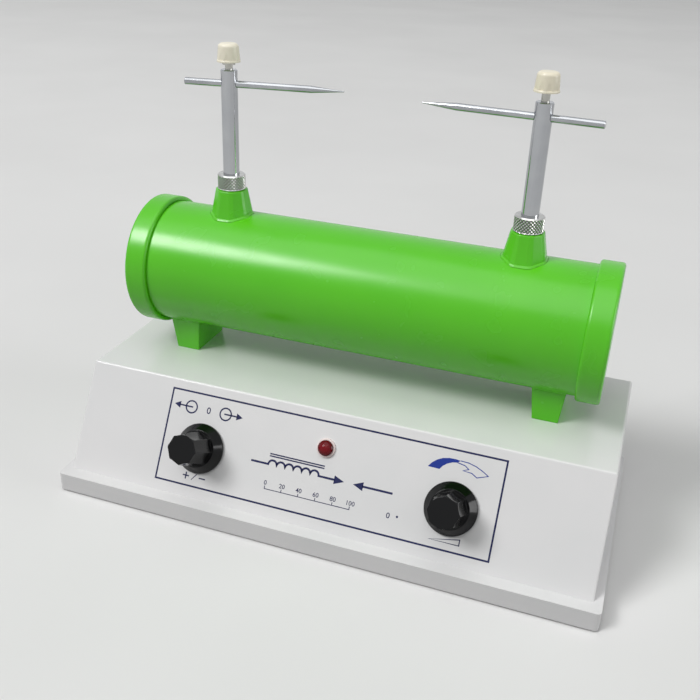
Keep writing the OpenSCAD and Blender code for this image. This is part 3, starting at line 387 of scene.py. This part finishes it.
def boss_outline(turn, z):
    """Distance from a boss's axis to its eight-sided face, its corners cut round."""
    half = BOSS_HALF + (BOSS_TOP_Z - z) * math.tan(BOSS_DRAFT)
    eighth = math.pi / 4
    off = (turn + eighth / 2) % eighth - eighth / 2
    return half * min(1 / math.cos(off), BOSS_EDGE_REACH)


def foot_outline(turn, z):
    """Distance from a foot's axis to its four-sided face."""
    grow = (z - DECK_Z) * math.tan(FOOT_DRAFT)
    half_x, half_y = FOOT_HALF_L + grow, FOOT_HALF_W + grow
    tiny = 1e-6
    return min(half_x / max(tiny, abs(math.cos(turn))), half_y / max(tiny, abs(math.sin(turn))))


# How far a fillet's edges run into the block and the tube, and its back into the corner.
FILLET_SINK, FILLET_BACK = 0.03, 0.4


def fillet_ring(name, x, outline, side, radius):
    """Rounded corner that runs right round where a block comes out of the tube."""
    around, steps, settling_rounds = 192, 6, 30
    rings = []
    for j in range(around):
        turn = 2 * math.pi * (j + 0.5) / around
        way = Vector((math.cos(turn), math.sin(turn)))
        z = AXIS_Z + side * TUBE_R
        for _ in range(settling_rounds):
            z = tube_z(COIL_Y + outline(turn, z) * way.y, side)
        out = outline(turn, z)
        corner = Vector((x + out * way.x, COIL_Y + out * way.y, z))
        near = outline(turn, z + side * radius) - FILLET_SINK
        upper = Vector((x + near * way.x, COIL_Y + near * way.y, z + side * radius))
        wide = out + radius
        y = COIL_Y + wide * way.y
        lower = Vector((x + wide * way.x, y, tube_z(y, side) - side * FILLET_SINK))
        inside = corner - Vector((way.x, way.y, side)) * FILLET_BACK
        curve = [upper * (1 - t) ** 2 + corner * 2 * t * (1 - t) + lower * t * t
                 for t in [i / steps for i in range(steps + 1)]]
        rings.append([inside] + curve)
    points = [p * MM for ring in rings for p in ring]
    faces = tube_faces(around, steps + 2)
    if side < 0:
        faces = [face[::-1] for face in faces]
    piece(name, points, faces, FINISHES["green_moulding"], "console", 40)


UP, DOWN = 1, -1
BOSS_FILLET, FOOT_FILLET = 1.3, 1.0
for side, word in ((LEFT, "left"), (RIGHT, "right")):
    fillet_ring(word + "_boss_fillet", side * POST_X, boss_outline, UP, BOSS_FILLET)
    fillet_ring(word + "_foot_fillet", side * FOOT_X, foot_outline, DOWN, FOOT_FILLET)


# ---------- Print on the panel ----------

INK_UNDER, INK_T = 0.005, 0.04


def printed(name, shapes, ink):
    """Closed shapes of (x, s) corners on the panel, each raised as one thin film of ink."""
    points, faces = [], []
    for shape in shapes:
        edges = {(a, b) for loop in shape for a, b in zip(loop, loop[1:] + loop[:1])}
        index = {}
        for corner in [c for loop in shape for c in loop]:
            if corner not in index:
                index[corner] = len(points)
                points += [on_panel(*corner, INK_UNDER), on_panel(*corner, INK_T)]
        for loop in shape:
            faces.append([index[c] + 1 for c in loop])
            faces.append([index[c] for c in reversed(loop)])
        faces += [[index[a], index[b], index[b] + 1, index[a] + 1] for a, b in edges if (b, a) not in edges]
    piece(name, points, faces, ink, "console", 30)


def stroke(line, width, closed=False):
    """A line of (x, s) points drawn with a pen of a width, as quads that share their corners."""
    line = [Vector(p) for p in line]
    count = len(line)
    sides = []
    for i, p in enumerate(line):
        before = p - line[i - 1] if i or closed else line[1] - p
        after = line[(i + 1) % count] - p if i < count - 1 or closed else before
        before, after = before.normalized(), after.normalized()
        mitre = Vector((-before.y - after.y, before.x + after.x))
        mitre = mitre.normalized() / max(0.5, mitre.normalized().dot(Vector((-before.y, before.x))))
        left, right = p + mitre * width / 2, p - mitre * width / 2
        sides.append(((round(left.x, 4), round(left.y, 4)), (round(right.x, 4), round(right.y, 4))))
    last = count if closed else count - 1
    return [[sides[i][1], sides[(i + 1) % count][1], sides[(i + 1) % count][0], sides[i][0]]
            for i in range(last)]


def arc(x, s, radius, start, end, steps):
    """Points along part of a circle, its angles in degrees."""
    turns = [math.radians(start + (end - start) * i / steps) for i in range(steps + 1)]
    return [(x + radius * math.cos(t), s + radius * math.sin(t)) for t in turns]


def arrow_head(x, s, length, half, way):
    """A solid arrow head with its tip at a place, which points right (1) or left (-1)."""
    return [[(x, s), (x - way * length, s + half), (x - way * length, s - half)][::way]]


# The built-in font's size for numerals one high, and how much their strokes are thickened.
SIZE_FOR_HEIGHT, NUMERAL_WEIGHT = 1.42, 0.012


def words(text, x, s, height):
    """Plain numerals from the built-in font, as closed outlines filled by Blender and placed on the panel."""
    curve = bpy.data.curves.new("numeral", "FONT")
    curve.body = text
    curve.align_x = "CENTER"
    curve.size = height * SIZE_FOR_HEIGHT
    curve.offset = height * NUMERAL_WEIGHT
    curve.resolution_u = 4
    writing = bpy.data.objects.new("numeral", curve)
    scene.collection.objects.link(writing)
    mesh = bpy.data.meshes.new_from_object(writing.evaluated_get(bpy.context.evaluated_depsgraph_get()))
    shape = [[(round(x + mesh.vertices[v].co.x, 4), round(s - height / 2 + mesh.vertices[v].co.y, 4))
              for v in face.vertices] for face in mesh.polygons]
    bpy.data.objects.remove(writing)
    bpy.data.curves.remove(curve)
    bpy.data.meshes.remove(mesh)
    return shape


BORDER = [(-93.4, 6.2), (93.4, 6.2), (93.4, 56.7), (-93.4, 56.7)]
BORDER_PEN, MARK_PEN, WIRE_PEN, CORE_PEN, FINE_PEN = 0.95, 0.8, 1.1, 0.7, 0.4
# Length and half the width of an arrow's head.
SMALL_HEAD, LARGE_HEAD = (3.6, 1.9), (5.5, 2.3)
navy = [stroke(BORDER, BORDER_PEN, closed=True)]

# Two circles, each with an arrow out of it, and a nought between them.
OFF_S, OFF_X, OFF_H, CIRCLE_R = 48.5, -70.1, 3.6, 3.3
LEFT_CIRCLE, LEFT_TIP, RIGHT_CIRCLE, RIGHT_TIP = -80.6, -91.0, -59.9, -49.7
SHAFT_START, SHAFT_END = 0.8, 3
for x, tip in ((LEFT_CIRCLE, LEFT_TIP), (RIGHT_CIRCLE, RIGHT_TIP)):
    way = RIGHT if tip > x else LEFT
    navy += [stroke(arc(x, OFF_S, CIRCLE_R, 0, 354, 59), MARK_PEN, closed=True),
             stroke([(x - way * SHAFT_START, OFF_S), (tip - way * SHAFT_END, OFF_S)], MARK_PEN),
             arrow_head(tip, OFF_S, *SMALL_HEAD, way)]
navy.append(words("0", OFF_X, OFF_S, OFF_H))

# A coil with a spark gap after it, as circuit drawings show them, and its core over it.
WIRE_S, LOOP_R, LOOPS, FIRST_LOOP_X = 27.8, 2.4, 6, -27.6
CORE_LEFT, CORE_RIGHT, CORE_LINES = -30.0, 1.2, (32.3, 33.5)
WIRE_LEFT, WIRE_RIGHT, LEFT_POINT, RIGHT_POINT, RETURN_LEFT, RETURN_RIGHT = -40.0, 8.0, 13.0, 18.0, 23.0, 39.5
wire = [(WIRE_LEFT, WIRE_S), (CORE_LEFT, WIRE_S)]
for i in range(LOOPS):
    wire += arc(FIRST_LOOP_X + i * 2 * LOOP_R, WIRE_S, LOOP_R, 180, 0, 14)[1:]
wire += [(WIRE_RIGHT, WIRE_S)]
navy += [stroke(wire, WIRE_PEN),
         arrow_head(LEFT_POINT, WIRE_S, *LARGE_HEAD, RIGHT),
         arrow_head(RIGHT_POINT, WIRE_S, *LARGE_HEAD, LEFT),
         stroke([(RETURN_LEFT, WIRE_S), (RETURN_RIGHT, WIRE_S)], WIRE_PEN)]
navy += [stroke([(CORE_LEFT, s), (CORE_RIGHT, s)], CORE_PEN) for s in CORE_LINES]

# A ruler of the spark's length, with a mark at every fifth of it.
RULER_X, RULER_S, RULER_STEP, RULER_MARKS = -29.5, 14.6, 9.6, 6
MARK_H, NUMERAL_S, NUMERAL_H = 1.6, 17.9, 2.4
for i in range(RULER_MARKS):
    x = RULER_X + i * RULER_STEP
    navy.append(stroke([(x, RULER_S), (x, RULER_S + MARK_H)], FINE_PEN))
    navy.append(words(str(20 * i), x, NUMERAL_S, NUMERAL_H))
half_pen = FINE_PEN / 2
ruler_end = RULER_X + (RULER_MARKS - 1) * RULER_STEP
navy.append(stroke([(RULER_X - half_pen, RULER_S), (ruler_end + half_pen, RULER_S)], FINE_PEN))

# A nought and a dot where the voltage knob starts.
START_X, START_S, START_H, DOT_X, DOT_S, DOT_R = 39.3, 16.6, 2.9, 44.1, 16.9, 0.6
navy += [words("0", START_X, START_S, START_H), [arc(DOT_X, DOT_S, DOT_R, 0, 330, 11)]]

# Plus and minus under the left knob, and a wedge that rises to the right under the other.
SIGN_S, SIGN_HALF, PLUS_X, MINUS_X = 11.4, 1.9, -75.7, -65.9
SLASH, SLASH_PEN = [(-72.2, 9.6), (-69.4, 13.2)], 0.45
WEDGE, WEDGE_PEN = [(62.0, 10.2), (77.6, 10.2), (77.6, 13.2)], 0.5
navy += [stroke([(PLUS_X - SIGN_HALF, SIGN_S), (PLUS_X + SIGN_HALF, SIGN_S)], CORE_PEN),
         stroke([(PLUS_X, SIGN_S - SIGN_HALF), (PLUS_X, SIGN_S + SIGN_HALF)], CORE_PEN),
         stroke([(MINUS_X - SIGN_HALF, SIGN_S), (MINUS_X + SIGN_HALF, SIGN_S)], CORE_PEN),
         stroke(SLASH, SLASH_PEN),
         stroke(WEDGE, WEDGE_PEN, closed=True)]
printed("panel_print_navy", navy, NAVY_INK)

# Arrow that sweeps over the voltage knob: solid at its tail, in outline at its head.
OUTER = [(54.5, 45.6), (56.2, 47.9), (58.6, 49.9), (61.4, 51.3), (64.6, 52.0), (68.0, 52.1), (70.4, 51.8)]
INNER = [(60.6, 45.5), (62.0, 47.4), (64.0, 49.0), (66.4, 50.1), (69.0, 50.6)]
HEAD = [(70.4, 51.8), (74.6, 51.6), (78.6, 50.6), (82.2, 49.0), (85.3, 47.2), (79.9, 45.2), (77.0, 46.9),
        (72.4, 47.2), (75.2, 48.4), (73.0, 49.9), (69.0, 50.6)]
HEAD_PEN = 0.45
tail = OUTER + INNER[::-1]
printed("panel_print_blue", [[tail[::-1]], stroke(HEAD[::-1], HEAD_PEN)], BLUE_INK)


# ---------- Studio ----------

LAMP_DISTANCE = 8.0
LAMP_AIM = Vector((0.0, 0.0, 0.1))


def softbox(name, azimuth, elevation, width, height, power):
    """A soft rectangular lamp that faces the coil from a direction, in degrees from straight in front."""
    turn, rise = math.radians(azimuth), math.radians(elevation)
    way = Vector((math.sin(turn) * math.cos(rise), -math.cos(turn) * math.cos(rise), math.sin(rise)))
    lamp = bpy.data.lights.new(name, "AREA")
    lamp.shape = "RECTANGLE"
    lamp.size, lamp.size_y, lamp.energy = width, height, power
    made = bpy.data.objects.new(name, lamp)
    scene.collection.objects.link(made)
    made.location = LAMP_AIM + way * LAMP_DISTANCE
    made.rotation_euler = way.to_track_quat("Z", "Y").to_euler()


softbox("key_softbox", -44, 44.5, 2.7, 2.4, 345.0)
softbox("top_softbox", -30, 70, 8.0, 8.0, 285.0)
softbox("side_softbox", 96, 12, 3.4, 4.0, 225.0)
softbox("fill_softbox", 45, 55, 8.0, 8.0, 75.0)


def seen_directly(tree):
    """One where the camera, a mirror or glass looks, and nought for the light that falls on the coil."""
    path = add(tree, "LightPath")
    mirrored = add(tree, "Math", {0: path.outputs["Is Glossy Ray"], 1: path.outputs["Is Transmission Ray"]},
                   operation="MAXIMUM")
    return add(tree, "Math", {0: path.outputs["Is Camera Ray"], 1: mirrored.outputs["Value"]},
               operation="MAXIMUM").outputs["Value"]


world = bpy.data.worlds.new("pale_room")
scene.world = world
world.use_nodes = True
room = world.node_tree
# The room's own light on the coil is weak beside what the eye and the chrome see of it.
ROOM_LIGHT = 0.17
level = add(room, "MapRange", {"Value": seen_directly(room), "To Min": ROOM_LIGHT, "To Max": 1.0})
backdrop = room.nodes["Background"]
backdrop.inputs["Color"].default_value = linear("#e2e4e6")
room.links.new(level.outputs["Result"], backdrop.inputs["Strength"])

FLOOR_R, FLOOR_CORNERS = 6.0, 96
floor_mesh = bpy.data.meshes.new("studio_floor")
turns = [math.tau * i / FLOOR_CORNERS for i in range(FLOOR_CORNERS)]
rim = [(FLOOR_R * math.cos(turn), FLOOR_R * math.sin(turn), 0.0) for turn in turns]
floor_mesh.from_pydata(rim, [], [list(range(FLOOR_CORNERS))])
floor = bpy.data.objects.new("studio_floor", floor_mesh)
scene.collection.objects.link(floor)
# Matt paper: pale to the eye, but it throws only a little light up at the coil.
paper, paper_tree, paper_shader, paper_place = bare("matt_studio_paper", Specular_IOR_Level=0.2,
                                                    Roughness=0.9)
pale = tone(paper_tree, paper_place, "#e3e3e2", "#dfdfde", 300)
paper_tree.links.new(add(paper_tree, "Mix", {0: seen_directly(paper_tree), 6: linear("#8e8e8d"), 7: pale},
                         data_type="RGBA").outputs[2], paper_shader.inputs["Base Color"])
floor_mesh.materials.append(paper)

# The lens, place and turn come from a camera fitted to corners and edges in the photograph.
LENS_MM, SENSOR_MM = 45.327, 36.0
CAMERA_PLACE = (0.13384, -0.40774, 0.30422)
CAMERA_TURN = (63.067, -2.077, 19.674)
eye = bpy.data.cameras.new("photo_camera")
eye.lens, eye.sensor_width = LENS_MM, SENSOR_MM
camera = bpy.data.objects.new("photo_camera", eye)
scene.collection.objects.link(camera)
camera.location = CAMERA_PLACE
camera.rotation_euler = [math.radians(a) for a in CAMERA_TURN]
scene.camera = camera
scene.view_settings.view_transform = "Standard"

bpy.context.view_layer.update()
